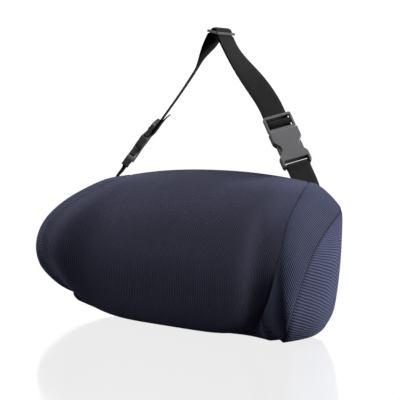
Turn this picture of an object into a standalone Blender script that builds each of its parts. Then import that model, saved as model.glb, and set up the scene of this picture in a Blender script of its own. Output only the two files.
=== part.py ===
"""Lumbar support cushion: a wedge of foam with a D-shaped section and two forward wings, in a
zipped cover of spacer fabric, with a webbing strap that clips on through two side-release buckles.

The frame is the cushion's own: X runs along its width, -Y is the front that a back leans on,
Z is up, and the origin lies on the flat underside, half way between front seam and back panel.
"""
import math

import bmesh
import bpy
import numpy as np
from mathutils import Matrix, Vector

# Driving dimensions, in metres
WIDTH = 0.352
HEIGHT = 0.160
DEPTH = 0.101
COVER_THICKNESS = 0.0020
LINER_THICKNESS = 0.0006
GAP = 0.0003
SEAM_INSET = 0.00045
LINING_GAP = 0.0009
END_CROWN = 0.009
END_DIP = 0.001
GUSSET_CROWN = 0.013
GUSSET_SKEW = 0.75
WING_RIDGE = 0.008
BASE_ROLL = 0.018

ZIP_HEIGHT = 0.040
ZIP_OPENING = 0.0096
ZIP_HALF_LENGTH = 0.156
TAPE_THICKNESS = 0.0007
TEETH_HEIGHT = 0.0012
TEETH_WIDTH = 0.0021
SLIDER_LENGTH = 0.0095
PULL_LENGTH = 0.022

WEBBING_WIDTH = 0.025
WEBBING_THICKNESS = 0.0014
PLY = WEBBING_THICKNESS + 2 * GAP
ANCHOR_INSET = 0.040
ANCHOR_HEIGHT = 0.086
ANCHOR_PATCH = 0.024
HEM_LENGTH = 0.016
STRAP_STANDOFF = 0.003
STUB_FLAT = 0.30
STUB_CLEARANCE = 0.0048

BUCKLE_WIDTH = 0.0312
FEMALE_LENGTH = 0.043
FEMALE_THICKNESS = 0.0086
WAIST_CUT = 0.0056
WAIST_CENTRE = 0.0215
WAIST_HALF_LENGTH = 0.0105
CAVITY_THICKNESS = 0.0054
SIDE_WALL = 0.0020
FRAME_LENGTH = 0.0187
FRAME_THICKNESS = 0.0044
BAR_WIDTH = 0.0030
BAR_THICKNESS = 0.0030
BAR_ROUND = 0.0012
WEB_SLOT = 0.0045
ARM_WIDTH = 0.0032
ARM_LENGTH = 0.0285
TONGUE_WIDTH = 0.0044

GLIDE_BAR = 0.0024
GLIDE_SLOT = 0.0045
GLIDE_WIDTH = 0.0300

# Where each buckle and the slider lie: across the width, behind the back panel, and above the base
BUCKLES = {
    "right": {"foot": (0.1003, 0.0155, 0.1664), "head": (0.0653, 0.0225, 0.2178),
              "across": (0.55, 0.80, 0.26)},
    "left": {"foot": (-0.1486, 0.0160, 0.1633), "head": (-0.1111, 0.0275, 0.2118),
             "across": (0.504, -0.843, -0.19)},
}
GLIDE_PLACE = (-0.0130, 0.0260, 0.3075)
GLIDE_TILT = math.radians(14)

BACK = DEPTH / 2
FRONT = -DEPTH / 2

# The cushion's rails, as shares of the half width, the depth and the height, from the bottom up
FRONT_SEAM = ((0.750, 0.168, 0.169), (0.852, 0.069, 0.294), (0.926, 0.0, 0.462),
              (0.932, 0.089, 0.612), (0.875, 0.327, 0.750), (0.790, 0.723, 0.888), (0.716, 1.0, 0.944))
CENTRE_LINE = ((0.0, 0.400, 0.0), (0.0, 0.250, 0.018), (0.0, 0.158, 0.125), (0.0, 0.130, 0.310),
               (0.0, 0.178, 0.500), (0.0, 0.347, 0.720), (0.0, 0.644, 0.890), (0.0, 1.0, 1.0))
END_SEAM = ((0.852, 0.300, 0.012), (0.915, 0.215, 0.085), (0.955, 0.180, 0.175), (0.977, 0.198, 0.275),
            (1.0, 0.277, 0.425), (1.0, 0.416, 0.556), (0.983, 0.624, 0.656), (0.966, 0.851, 0.744),
            (0.943, 1.0, 0.788))
BACK_EDGE = ((0.820, 1.0, 0.030), (0.890, 1.0, 0.150), (0.920, 1.0, 0.300), (0.938, 1.0, 0.475),
             (0.945, 1.0, 0.656), (0.943, 1.0, 0.788))
GUSSET_LEAN = math.radians(58)

ROWS = 12
ZIP_ROW = 2
FRONT_COLUMNS = 20
GUSSET_COLUMNS = 4
END_COLUMNS = 6


def remove_everything():
    for old in list(bpy.data.objects):
        bpy.data.objects.remove(old)


def collection(name):
    group = bpy.data.collections.new(name)
    bpy.context.scene.collection.children.link(group)
    return group


def material(name, colour, roughness, metallic=0.0):
    finish = bpy.data.materials.new(name)
    finish.use_nodes = True
    shader = finish.node_tree.nodes["Principled BSDF"]
    shader.inputs["Base Color"].default_value = (*colour, 1.0)
    shader.inputs["Roughness"].default_value = roughness
    shader.inputs["Metallic"].default_value = metallic
    return finish


def add_object(name, mesh, finish, parent=None):
    item = bpy.data.objects.new(name, mesh)
    PARTS.objects.link(item)
    if finish:
        mesh.materials.append(finish)
    item.parent = parent
    return item


def add_empty(name, matrix, parent=None):
    item = bpy.data.objects.new(name, None)
    item.empty_display_size = 0.01
    PARTS.objects.link(item)
    item.parent = parent
    item.matrix_local = parent.matrix_world.inverted() @ matrix if parent else matrix
    bpy.context.view_layer.update()
    return item


def distance_along(centres):
    return np.concatenate(([0.0], np.cumsum(np.linalg.norm(np.diff(centres, axis=0), axis=1))))


def smooth_curve(points, count):
    """Catmull-Rom curve through the points, cut into evenly spaced samples."""
    given = np.asarray(points, float)
    knots = np.vstack((2 * given[0] - given[1], given, 2 * given[-1] - given[-2]))
    t = np.linspace(0.0, 1.0, 24, endpoint=False)[:, None]
    pieces = []
    for a, b, c, d in zip(knots, knots[1:], knots[2:], knots[3:]):
        pieces.append(0.5 * (2 * b + (c - a) * t + (2 * a - 5 * b + 4 * c - d) * t ** 2
                             + (3 * b - a - 3 * c + d) * t ** 3))
    fine = np.vstack(pieces + [given[-1:]])
    along = distance_along(fine)
    samples = np.linspace(0.0, along[-1], count)
    return np.column_stack([np.interp(samples, along, fine[:, axis]) for axis in range(3)])


def bezier(start, leaving, end, arriving, count):
    """Curve between two points that leaves and arrives along the directions given."""
    reach = np.linalg.norm(end - start) * 0.28
    t = np.linspace(0.0, 1.0, count)[:, None]
    return (start * (1 - t) ** 3 + 3 * (start + leaving * reach) * t * (1 - t) ** 2
            + 3 * (end - arriving * reach) * t ** 2 * (1 - t) + end * t ** 3)


def arc(centre_x, radius, angles):
    """Points on a circle about a bar, as places along and outward."""
    return [(centre_x + radius * math.cos(angle), radius * math.sin(angle)) for angle in np.radians(angles)]


# Cushion body

def rail(shares, count):
    size = np.array([WIDTH / 2, DEPTH, HEIGHT])
    return smooth_curve(np.array(shares) * size + np.array([0.0, FRONT, 0.0]), count)


def back_edge():
    """The edge between end and back panel, with a row of points at each side of the zip opening."""
    fine = rail(BACK_EDGE, 60)
    low = np.linspace(fine[0, 2], ZIP_HEIGHT - ZIP_OPENING / 2, ZIP_ROW + 1)
    high = np.linspace(ZIP_HEIGHT + ZIP_OPENING / 2, fine[-1, 2], ROWS - ZIP_ROW)
    heights = np.concatenate((low, high))
    return np.column_stack((np.interp(heights, fine[:, 2], fine[:, 0]), np.full(ROWS + 1, BACK), heights))


def front_patch(seam, centre):
    """Rows run up the front and over the top; each row sweeps from seam to seam with a hollow middle."""
    side = np.linspace(-1.0, 1.0, FRONT_COLUMNS + 1)[None, :, None]
    blend = np.abs(side) ** np.linspace(4.8, 2.2, ROWS + 1)[:, None, None]
    rows = centre[:, None, :] * (1 - blend) + seam[:, None, :] * blend
    rows[:, :, 0] = seam[:, None, 0] * side[:, :, 0]
    height = np.linspace(0.0, 1.0, ROWS + 1)[:, None]
    share = np.abs(side[:, :, 0])
    ridge = np.exp(-((share - 0.84) / 0.13) ** 2)
    ridge -= ridge[:, -1:] * share ** 12
    rows[:, :, 1] -= WING_RIDGE * ridge * np.sin(np.pi * height) ** 1.5
    return rows


def gusset_patch(seam, end_seam):
    """The side of the wing, bowed outwards between the front seam and the end seam."""
    across = np.linspace(0.0, 1.0, GUSSET_COLUMNS + 1)[None, :, None]
    patch = seam[:, None] * (1 - across) + end_seam[:, None] * across
    along = np.gradient(seam + end_seam, axis=0)
    outward = np.cross(along, end_seam - seam)
    outward /= np.linalg.norm(outward, axis=1)[:, None]
    from_heart = (seam + end_seam) / 2 - np.array([0.0, BACK, HEIGHT / 2])
    outward *= np.sign(np.sum(outward * from_heart, axis=1))[:, None]
    outward[-1] = (math.cos(GUSSET_LEAN), 0.0, math.sin(GUSSET_LEAN))
    height = np.linspace(0.0, 1.0, ROWS + 1)[:, None, None]
    skewed = across ** GUSSET_SKEW
    fullness = np.minimum(0.25 + 3 * height, 1.0) * (1 - 0.45 * height ** 4)
    bow = GUSSET_CROWN * fullness * 4 * skewed * (1 - skewed)
    return patch + bow * outward[:, None]


def end_patch(end_seam, edge):
    """The flat end of the cushion, crowned a little outwards."""
    across = np.linspace(0.0, 1.0, END_COLUMNS + 1)[None, :, None]
    patch = end_seam[:, None] * (1 - across) + edge[:, None] * across
    height = np.linspace(0.0, 1.0, ROWS + 1)[:, None]
    bow = np.sin(np.pi * across[:, :, 0])
    patch[:, :, 0] += END_CROWN * bow * (1 - height ** 3)
    patch[:, :, 2] -= END_DIP * bow * (1 - height) ** 4
    return patch


def base_patch(front_row, end_row):
    """The underside: it rolls down from the front seam, lies flat, and lifts a little at the ends."""
    side = front_row[:, 0] / front_row[-1, 0]
    depth = np.linspace(0.0, 1.0, END_COLUMNS + 1)[:, None] ** 1.5
    lift = end_row[-1, 2] * np.clip((np.abs(side) - 0.7) / 0.3, 0.0, 1.0) ** 2
    back_row = np.column_stack((front_row[:, 0], np.full(len(side), BACK), lift))
    back_row[:, 0] = side * end_row[-1, 0]
    patch = front_row[None] * (1 - depth[..., None]) + back_row[None] * depth[..., None]
    run = patch[:, :, 1] - front_row[None, :, 1]
    roll = 1 - np.sqrt(1 - np.clip(1 - run / BASE_ROLL, 0.0, 1.0) ** 2)
    patch[:, :, 2] = front_row[None, :, 2] * roll + lift * (1 - roll) * depth
    mirror = np.array([-1.0, 1.0, 1.0])
    patch[:, -1] = end_row
    patch[:, 0] = end_row * mirror
    return patch


def back_patch(top_row, bottom_row, edge):
    """The flat back: columns run from the bottom edge to the top edge, rows stay level at the zip."""
    share = (edge[:, 2] - edge[0, 2]) / (edge[-1, 2] - edge[0, 2])
    patch = bottom_row[None] * (1 - share[:, None, None]) + top_row[None] * share[:, None, None]
    for row in (ZIP_ROW, ZIP_ROW + 1):
        patch[row, :, 2] = edge[row, 2]
    low = np.linspace(0.0, 1.0, ZIP_ROW + 1)[:, None]
    patch[:ZIP_ROW + 1, :, 2] = bottom_row[None, :, 2] * (1 - low) + edge[ZIP_ROW, 2] * low
    high = (np.linspace(0.0, 1.0, ROWS - ZIP_ROW))[:, None]
    patch[ZIP_ROW + 1:, :, 2] = edge[ZIP_ROW + 1, 2] * (1 - high) + top_row[None, :, 2] * high
    width = patch[:, -1:, 0]
    patch[:, :, 0] *= edge[:, :1] / width
    return patch


def body_patches():
    """All the cover's panels as grids of points that share their edges."""
    mirror = np.array([-1.0, 1.0, 1.0])
    seam = rail(FRONT_SEAM, ROWS + 1)
    centre = rail(CENTRE_LINE, ROWS + 1)
    end_seam = rail(END_SEAM, ROWS + 1)
    edge = back_edge()
    front = front_patch(seam, centre)
    gusset = gusset_patch(seam, end_seam)
    end = end_patch(end_seam, edge)
    left_gusset = gusset[:, ::-1] * mirror
    left_end = end[:, ::-1] * mirror
    bottom = np.concatenate((left_gusset[0, :-1], front[0], gusset[0, 1:]))
    top = np.concatenate((left_gusset[-1, :-1], front[-1], gusset[-1, 1:]))
    base = base_patch(bottom, end[0])
    back = back_patch(top, base[-1], edge)
    return {
        "front": [front], "base": [base[::-1], gusset, left_gusset],
        "end_right": [end], "end_left": [left_end],
        "back_lower": [back[:ZIP_ROW + 1, ::-1]],
        "zip_strip": [back[ZIP_ROW:ZIP_ROW + 2, ::-1]],
        "back_upper": [back[ZIP_ROW + 1:, ::-1]],
    }


def body_mesh(patches):
    """Weld the panels into one closed mesh, each face marked with its panel's number."""
    shape = bmesh.new()
    mark = shape.faces.layers.int.new("panel")
    names = list(patches)
    for number, name in enumerate(names):
        for grid in patches[name]:
            points = [[shape.verts.new(point) for point in row] for row in grid]
            for lower, upper in zip(points, points[1:]):
                for a, b, c, d in zip(lower, lower[1:], upper[1:], upper):
                    shape.faces.new((a, b, c, d))[mark] = number
    bmesh.ops.remove_doubles(shape, verts=shape.verts, dist=0.00005)
    bmesh.ops.recalc_face_normals(shape, faces=shape.faces)
    bmesh.ops.triangulate(shape, faces=shape.faces)
    shape.normal_update()
    return shape, mark, names


def layer(shape, mark, numbers, outer, inner=None):
    """The wall of the body between two depths under its surface, over the panels given.

    With no inner depth it is a solid. Corners are mitred, and an open edge is drawn back so that
    two panels sewn together stay a stitch line apart."""
    faces = [face for face in shape.faces if face[mark] in numbers]
    corners = {corner for face in faces for corner in face.verts}
    used = sorted(corners, key=lambda corner: corner.index)
    place = {corner: number for number, corner in enumerate(used)}
    pull = {}
    for corner in used:
        around = [face for face in corner.link_faces if face[mark] in numbers]
        if len(around) < len(corner.link_faces):
            inward = sum((face.calc_center_median() for face in around), Vector()) / len(around) - corner.co
            inward -= inward.dot(corner.normal) * corner.normal
            pull[corner] = inward.normalized() * SEAM_INSET
        else:
            pull[corner] = Vector()
    skin = []
    for depth in ([outer] if inner is None else [outer, inner]):
        for corner in used:
            skin.append(corner.co + pull[corner] - corner.normal * corner.calc_shell_factor() * depth)
    count = len(used)
    loops = [[place[corner] for corner in face.verts] for face in faces]
    if inner is not None:
        directed = {(loop[i], loop[(i + 1) % len(loop)]) for loop in loops for i in range(len(loop))}
        walls = [(b, a, a + count, b + count) for a, b in sorted(directed) if (b, a) not in directed]
        loops += [[index + count for index in reversed(loop)] for loop in loops] + walls
    mesh = bpy.data.meshes.new("layer")
    mesh.from_pydata(skin, [], loops)
    return mesh


def make_cushion():
    shape, mark, names = body_mesh(body_patches())
    shape.verts.index_update()
    number = {name: index for index, name in enumerate(names)}
    liner_depth = COVER_THICKNESS + LINING_GAP
    foam_depth = liner_depth + LINER_THICKNESS + LINING_GAP
    panels = {
        "cover_front_panel": ["front"],
        "cover_gusset_and_base": ["base"],
        "cover_end_panel_right": ["end_right"],
        "cover_end_panel_left": ["end_left"],
        "cover_back_panel_lower": ["back_lower"],
        "cover_back_panel_upper": ["back_upper"],
    }
    for name, members in panels.items():
        numbers = {number[member] for member in members}
        finish = SMOOTH_FABRIC if name == "cover_front_panel" else RIBBED_FABRIC
        add_object(name, layer(shape, mark, numbers, 0.0, COVER_THICKNESS), finish)
    lined = set(number.values()) - {number["zip_strip"]}
    liner = layer(shape, mark, lined, liner_depth, liner_depth + LINER_THICKNESS)
    add_object("foam_liner", liner, LINER_CLOTH)
    add_object("foam_core", layer(shape, mark, set(number.values()), foam_depth), FOAM)
    shape.free()


# Simple solids

def box(name, low, high, finish, parent=None, round_edge=0.0, pivot=(0.0, 0.0, 0.0)):
    """A block between two corners, given about its pivot's parent; the object's origin is the pivot."""
    shape = bmesh.new()
    bmesh.ops.create_cube(shape, size=1.0)
    low, high, pivot = Vector(low), Vector(high), Vector(pivot)
    size = high - low
    bmesh.ops.scale(shape, verts=shape.verts, vec=size)
    bmesh.ops.translate(shape, verts=shape.verts, vec=(low + high) / 2 - pivot)
    mesh = bpy.data.meshes.new(name)
    shape.to_mesh(mesh)
    shape.free()
    item = add_object(name, mesh, finish, parent)
    item.location = pivot
    if round_edge:
        bevel(item, round_edge)
    return item


def bevel(item, width, segments=2):
    rounding = item.modifiers.new("rounded edges", "BEVEL")
    rounding.width = width
    rounding.segments = segments
    rounding.limit_method = "ANGLE"
    rounding.angle_limit = math.radians(35)


def plate(name, outline, thickness, finish, parent=None, pivot=(0.0, 0.0, 0.0)):
    """A flat outline in the parent's XY plane, as thick as given, centred on that plane."""
    curve = bpy.data.curves.new(name, "CURVE")
    curve.dimensions = "2D"
    curve.fill_mode = "BOTH"
    curve.extrude = thickness / 2
    spline = curve.splines.new("POLY")
    spline.points.add(len(outline) - 1)
    for point, (x, y) in zip(spline.points, outline):
        point.co = (x - pivot[0], y - pivot[1], 0.0, 1.0)
    spline.use_cyclic_u = True
    rough = bpy.data.objects.new(name + "_outline", curve)
    PARTS.objects.link(rough)
    bpy.context.view_layer.update()
    mesh = bpy.data.meshes.new_from_object(rough.evaluated_get(bpy.context.evaluated_depsgraph_get()))
    bpy.data.objects.remove(rough)
    bpy.data.curves.remove(curve)
    shape = bmesh.new()
    shape.from_mesh(mesh)
    bmesh.ops.remove_doubles(shape, verts=shape.verts, dist=0.00001)
    bmesh.ops.recalc_face_normals(shape, faces=shape.faces)
    shape.to_mesh(mesh)
    shape.free()
    item = add_object(name, mesh, finish, parent)
    item.location = pivot
    return item


def combine(item, other, operation):
    """Cut another solid from this one, or join it on; the other is kept as a guide only."""
    change = item.modifiers.new(operation.lower(), "BOOLEAN")
    change.operation = operation
    change.object = other
    PARTS.objects.unlink(other)
    CUTTERS.objects.link(other)
    other.hide_render = True
    other.display_type = "WIRE"


def rounded_rectangle(half_width, low, high, radius, steps=5):
    points = []
    corners = ((1, high - radius), (-1, high - radius), (-1, low + radius), (1, low + radius))
    for quarter, (side, centre) in enumerate(corners):
        for angle in np.radians(90 * quarter + np.linspace(0, 90, steps)):
            points.append((side * (half_width - radius) + radius * math.cos(angle),
                           centre + radius * math.sin(angle)))
    return points


# Zip

def make_zip():
    outer = BACK - COVER_THICKNESS + TAPE_THICKNESS + GAP / 2
    tape_inner = BACK - COVER_THICKNESS + GAP / 2
    half_open = ZIP_OPENING / 2 - GAP
    teeth_foot = outer + GAP
    for name, side in (("upper", 1), ("lower", -1)):
        edges = sorted((ZIP_HEIGHT + side * GAP / 2, ZIP_HEIGHT + side * half_open))
        box("zip_tape_" + name, (-ZIP_HALF_LENGTH, tape_inner, edges[0]),
            (ZIP_HALF_LENGTH, outer, edges[1]), TAPE)
        edges = sorted((ZIP_HEIGHT + side * GAP / 2, ZIP_HEIGHT + side * TEETH_WIDTH))
        reach = ZIP_HALF_LENGTH - 0.006
        box("zip_teeth_" + name, (-reach, teeth_foot, edges[0]),
            (reach, teeth_foot + TEETH_HEIGHT, edges[1]), NYLON)
    stop_top = teeth_foot + TEETH_HEIGHT + 0.0004
    for name, side in (("start", -1), ("end", 1)):
        edges = sorted((side * (reach + GAP), side * (reach + 0.0025)))
        box("zip_stop_" + name, (edges[0], teeth_foot, ZIP_HEIGHT - TEETH_WIDTH),
            (edges[1], stop_top, ZIP_HEIGHT + TEETH_WIDTH), METAL, round_edge=0.0003)

    rest = reach - SLIDER_LENGTH / 2 - GAP
    roof = teeth_foot + TEETH_HEIGHT + GAP
    carriage = add_empty("zip_slider_place", Matrix.Translation((rest, 0.0, ZIP_HEIGHT)))
    flange = TEETH_WIDTH + GAP
    half = SLIDER_LENGTH / 2
    body = box("zip_slider_body", (-half, teeth_foot, -flange - 0.0014),
               (half, roof + 0.0012, flange + 0.0014), METAL, carriage)
    channel = box("zip_slider_channel", (-half - 0.001, teeth_foot - 0.001, -flange),
                  (half + 0.001, roof, flange), None, carriage)
    combine(body, channel, "DIFFERENCE")
    bridge = box("zip_slider_bridge", (-0.0030, roof + 0.0006, -0.0008),
                 (0.0030, roof + 0.0040, 0.0008), None, carriage)
    combine(body, bridge, "UNION")
    eye = box("zip_slider_eye", (-0.0019, roof + 0.0014, -0.002),
              (0.0019, roof + 0.0031, 0.002), None, carriage)
    combine(body, eye, "DIFFERENCE")

    pin_y = roof + 0.0022
    hinge = add_empty("zip_pull_axis", Matrix.Translation((rest, pin_y, ZIP_HEIGHT)), carriage)
    outline = rounded_rectangle(0.0030, -PULL_LENGTH, 0.0006, 0.0018)
    tab = plate("zip_pull_tab", outline, 0.0010, METAL, hinge)
    lying = Matrix(((0, 1, 0, 0), (0, 0, 1, 0), (1, 0, 0, 0), (0, 0, 0, 1)))
    tab.matrix_local = lying
    window = box("zip_pull_window", (-0.0018, -0.0062, -0.002), (0.0018, -0.0006, 0.002), None, hinge)
    window.matrix_local = lying
    combine(tab, window, "DIFFERENCE")


# Webbing and buckles

def nearest(centres, point):
    return int(np.argmin(np.linalg.norm(centres - point, axis=1)))


def squared(centres, across):
    """Across directions made square to the centre line, and the band's normals."""
    along = np.gradient(centres, axis=0)
    along /= np.linalg.norm(along, axis=1)[:, None]
    across = across - np.sum(across * along, axis=1)[:, None] * along
    across /= np.linalg.norm(across, axis=1)[:, None]
    return across, np.cross(across, along)


def webbing(name, centres, across, parent=None, width=WEBBING_WIDTH):
    """A flat band: a rectangle carried along the centre line, its long side along the across vectors."""
    centres = np.asarray(centres)
    across, normal = squared(centres, across)
    ring = [centres + across * width / 2 * a + normal * WEBBING_THICKNESS / 2 * b
            for a, b in ((-1, -1), (1, -1), (1, 1), (-1, 1))]
    points = np.stack(ring, axis=1).reshape(-1, 3)
    faces = [(3, 2, 1, 0)]
    last = 4 * (len(centres) - 1)
    for start in range(0, last, 4):
        for a in range(4):
            b = (a + 1) % 4
            faces.append((start + a, start + b, start + b + 4, start + a + 4))
    faces.append((last, last + 1, last + 2, last + 3))
    mesh = bpy.data.meshes.new(name)
    mesh.from_pydata([tuple(point) for point in points], [], faces)
    shape = bmesh.new()
    shape.from_mesh(mesh)
    bmesh.ops.recalc_face_normals(shape, faces=shape.faces)
    shape.to_mesh(mesh)
    shape.free()
    item = add_object(name, mesh, WEBBING, parent)
    if parent:
        item.matrix_parent_inverse = parent.matrix_world.inverted()
    return item


def unit(vector):
    return np.asarray(vector) / np.linalg.norm(vector)


def behind(place):
    """A point given by its distance behind the back panel."""
    return np.array([place[0], BACK + place[1], place[2]])


def buckle_frame(side):
    """Across, along (foot to head) and outward directions of a buckle, with its foot as the origin."""
    data = BUCKLES[side]
    foot = behind(data["foot"])
    along = unit(behind(data["head"]) - foot)
    across = np.asarray(data["across"])
    across = unit(across - across.dot(along) * along)
    outward = np.cross(across, along)
    frame = np.eye(4)
    frame[:3, 0], frame[:3, 1], frame[:3, 2], frame[:3, 3] = across, along, outward, foot
    return frame


def placed(frame, points):
    points = np.asarray(points, float)
    return points @ frame[:3, :3].T + frame[:3, 3]


def in_plane(points):
    """Points along and outward in a buckle's own frame, on its middle line."""
    return [(0.0, along, outward) for along, outward in points]


def anchor(side):
    sign = 1 if side == "right" else -1
    return np.array([sign * (WIDTH / 2 - ANCHOR_INSET), BACK + STRAP_STANDOFF, ANCHOR_HEIGHT])


def make_stub(side, swing):
    """The short webbing sewn to the back panel: it turns round the female half's bar and is hemmed."""
    frame = buckle_frame(side)
    start = anchor(side)
    ply = WEBBING_THICKNESS / 2 + GAP / 2
    ring = BAR_THICKNESS / 2 + GAP + WEBBING_THICKNESS / 2
    loop = ([(-HEM_LENGTH, ply), (-0.011, ply), (-0.006, ply), (-0.0032, ply + 0.0002)]
            + arc(BAR_WIDTH / 2, ring, (120, 90, 60, 30, 0, -30, -60, -90, -120))
            + [(-0.0032, -ply - 0.0002), (-0.006, -ply), (-0.011, -ply), (0.001 - HEM_LENGTH, -ply)])
    turn = placed(frame, in_plane(loop))
    lean = unit((turn[0] - start) * (1, 0, 1))
    flat = unit(np.cross(lean, (0.0, -1.0, 0.0)))
    if flat.dot(frame[:3, 0]) < 0:
        flat = -flat
    rise = bezier(start + lean * STUB_CLEARANCE, unit(lean + (0.0, 0.12, 0.0)), turn[0], frame[:3, 1], 16)
    centres = smooth_curve(np.vstack((rise[:-1], turn)), 120)
    along = distance_along(centres)
    reach = np.clip(along / along[nearest(centres[:80], turn[0])], 0.0, 1.0)
    reach = np.clip((reach - STUB_FLAT) / (1 - STUB_FLAT), 0.0, 1.0)
    blend = (reach ** 2 * (3 - 2 * reach))[:, None]
    webbing(side + "_stub_webbing", centres, flat * (1 - blend) + frame[:3, 0] * blend, swing)

    low = start - lean * ANCHOR_PATCH
    high = start - lean * GAP * 4
    middle = BACK + GAP + WEBBING_THICKNESS / 2
    ends = np.array([(low[0], middle, low[2]), (high[0], middle, high[2])])
    webbing(side + "_anchor_patch", np.linspace(ends[0], ends[1], 3), np.tile(flat, (3, 1)))


def female_half(side, parent):
    """The socket: two plates with a waist for the fingers, side walls at the mouth, and a web bar."""
    steps = np.linspace(0.0, FEMALE_LENGTH, 31)
    share = np.clip((steps - WAIST_CENTRE) / WAIST_HALF_LENGTH, -1.0, 1.0)
    half = BUCKLE_WIDTH / 2 - WAIST_CUT * np.cos(share * np.pi / 2) ** 2
    half[:3] -= (0.0016, 0.0004, 0.0)
    outline = [(x, y) for x, y in zip(half, steps)] + [(-x, y) for x, y in zip(half[::-1], steps[::-1])]
    body = plate(side + "_buckle_female", outline, FEMALE_THICKNESS, PLASTIC, parent)
    bevel(body, 0.0008)
    inner = WEBBING_WIDTH / 2 + 0.0008
    slot = BAR_WIDTH + WEB_SLOT
    cuts = {
        "web_slot": ((-inner, -0.002, -0.01), (inner, slot, 0.01)),
        "cavity": ((SIDE_WALL - BUCKLE_WIDTH / 2, slot + 0.0025, -CAVITY_THICKNESS / 2),
                   (BUCKLE_WIDTH / 2 - SIDE_WALL, FEMALE_LENGTH + 0.002, CAVITY_THICKNESS / 2)),
    }
    for name, (low, high) in cuts.items():
        combine(body, box(side + "_female_" + name, low, high, None, parent), "DIFFERENCE")
    bar = box(side + "_female_bar", (-inner - 0.0015, 0.0, -BAR_THICKNESS / 2),
              (inner + 0.0015, BAR_WIDTH, BAR_THICKNESS / 2), None, parent, round_edge=BAR_ROUND)
    combine(body, bar, "UNION")


def male_half(side, slide):
    """The plug's fixed part: a ladder frame with two bars, and the guide tongue between its arms."""
    low = FEMALE_LENGTH + GAP
    high = low + FRAME_LENGTH
    half = BUCKLE_WIDTH / 2 - 0.0003
    outline = rounded_rectangle(half, low, high, 0.0022)
    frame = plate(side + "_buckle_male", outline, FRAME_THICKNESS, PLASTIC, slide)
    bevel(frame, 0.0006)
    inner = WEBBING_WIDTH / 2 + 0.0007
    window = box(side + "_male_window", (-inner, low + BAR_WIDTH, -0.01),
                 (inner, high - BAR_WIDTH + 0.0002, 0.01), None, slide)
    combine(frame, window, "DIFFERENCE")
    bar_low = ladder_bar()
    bar = box(side + "_male_bar", (-inner - 0.0015, bar_low, -BAR_THICKNESS / 2),
              (inner + 0.0015, bar_low + BAR_WIDTH, BAR_THICKNESS / 2), None, slide, round_edge=BAR_ROUND)
    combine(frame, bar, "UNION")
    tongue = box(side + "_male_tongue", (-TONGUE_WIDTH / 2, low - 0.022, -0.0018),
                 (TONGUE_WIDTH / 2, low + 0.002, 0.0018), None, slide)
    combine(frame, tongue, "UNION")


def ladder_bar():
    """How far up the buckle the male half's middle bar starts."""
    return FEMALE_LENGTH + GAP + 0.0084


def arm_pivot():
    """Across and along places of a release arm's root in the buckle's frame."""
    return BUCKLE_WIDTH / 2 - SIDE_WALL - GAP - 0.0037, FEMALE_LENGTH - 0.0015


def release_arm(side, end, sign, slide):
    """One springy arm of the plug, with the tab that a finger presses in the socket's waist."""
    root_x, root_y = arm_pivot()
    outer = BUCKLE_WIDTH / 2 - SIDE_WALL - GAP
    tip = root_y + 0.0011 - ARM_LENGTH
    inner = root_x - ARM_WIDTH / 2
    outline = [(inner, tip), (outer - 0.0022, tip), (outer - 0.0006, tip + 0.0012), (outer, tip + 0.0035),
               (outer, tip + 0.0115), (outer - 0.0006, tip + 0.0138), (inner + ARM_WIDTH, tip + 0.0165),
               (inner + ARM_WIDTH, root_y + 0.0006), (root_x + 0.0008, root_y + 0.0011),
               (root_x - 0.0008, root_y + 0.0011), (inner, root_y + 0.0006)]
    outline = [(sign * x, y) for x, y in outline]
    item = plate(side + "_release_arm_" + end, outline, CAVITY_THICKNESS - 0.0008, PLASTIC, slide,
                 pivot=(sign * root_x, root_y, 0.0))
    bevel(item, 0.0004, 1)


def make_wrap(side, slide):
    """The turn of webbing over the male half's middle bar."""
    middle = ladder_bar() + BAR_WIDTH / 2
    ring = BAR_WIDTH / 2 + GAP + WEBBING_THICKNESS / 2
    back = -FRAME_THICKNESS / 2
    profile = ([(middle - ring, back)] + arc(middle, ring, (180, 150, 120, 90, 60, 30, 0))
               + [(middle + ring, back)])
    frame = buckle_frame(side)
    centres = smooth_curve(placed(frame, in_plane(profile)), 31)
    webbing(side + "_wrap_webbing", centres, np.tile(frame[:3, 0], (31, 1)), slide)


def glide_frame():
    """Across, along (towards the right leg's upper end) and outward directions of the slider."""
    frame = np.eye(4)
    frame[:3, 0] = (0.0, 1.0, 0.0)
    frame[:3, 1] = (-math.cos(GLIDE_TILT), 0.0, math.sin(GLIDE_TILT))
    frame[:3, 2] = np.cross(frame[:3, 0], frame[:3, 1])
    frame[:3, 3] = behind(GLIDE_PLACE)
    return frame


def leg_line(side, lift, glide_points, lower, straight, hold):
    """Centre line and across directions of a ply from a buckle's ladder to the slider.

    It runs straight past the buckle, keeps its turn for a share of the way, and then turns about its
    own length until it lies square to the slider's bars."""
    frame = buckle_frame(side)
    glide = glide_frame()
    head = FEMALE_LENGTH + GAP + FRAME_LENGTH
    stations = np.linspace(lower, head + straight, 6)
    first = placed(frame, in_plane([(station, lift) for station in stations]))
    last = placed(glide, in_plane(glide_points))
    middle = bezier(first[-1], frame[:3, 1], last[0], unit(last[1] - last[0]), 24)
    centres = smooth_curve(np.vstack((first, middle[1:-1], last)), 120)
    along = distance_along(centres)
    begin = along[nearest(centres, first[-1])]
    end = along[nearest(centres, last[0])]
    share = np.clip((along - begin) / (end - begin), 0.0, 1.0)
    share = np.clip((share - hold) / (1 - hold), 0.0, 1.0)[:, None]
    blend = share ** 2 * (3 - 2 * share)
    square = glide[:3, 0] * (1 if side == "right" else -1)
    return centres, frame[:3, 0] * (1 - blend) + square * blend


def follow(centres, across, stop, glide_points):
    """A ply that lies one thickness inside another as far as a point, and then takes its own turn."""
    across, normal = squared(centres, across)
    count = nearest(centres, stop)
    inside = (centres - normal * PLY)[:count:3]
    own = placed(glide_frame(), in_plane(glide_points))
    path = smooth_curve(np.vstack((inside, own)), 150)
    turned = np.array([across[nearest(centres[:count], point)] for point in path])
    return path, turned


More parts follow.
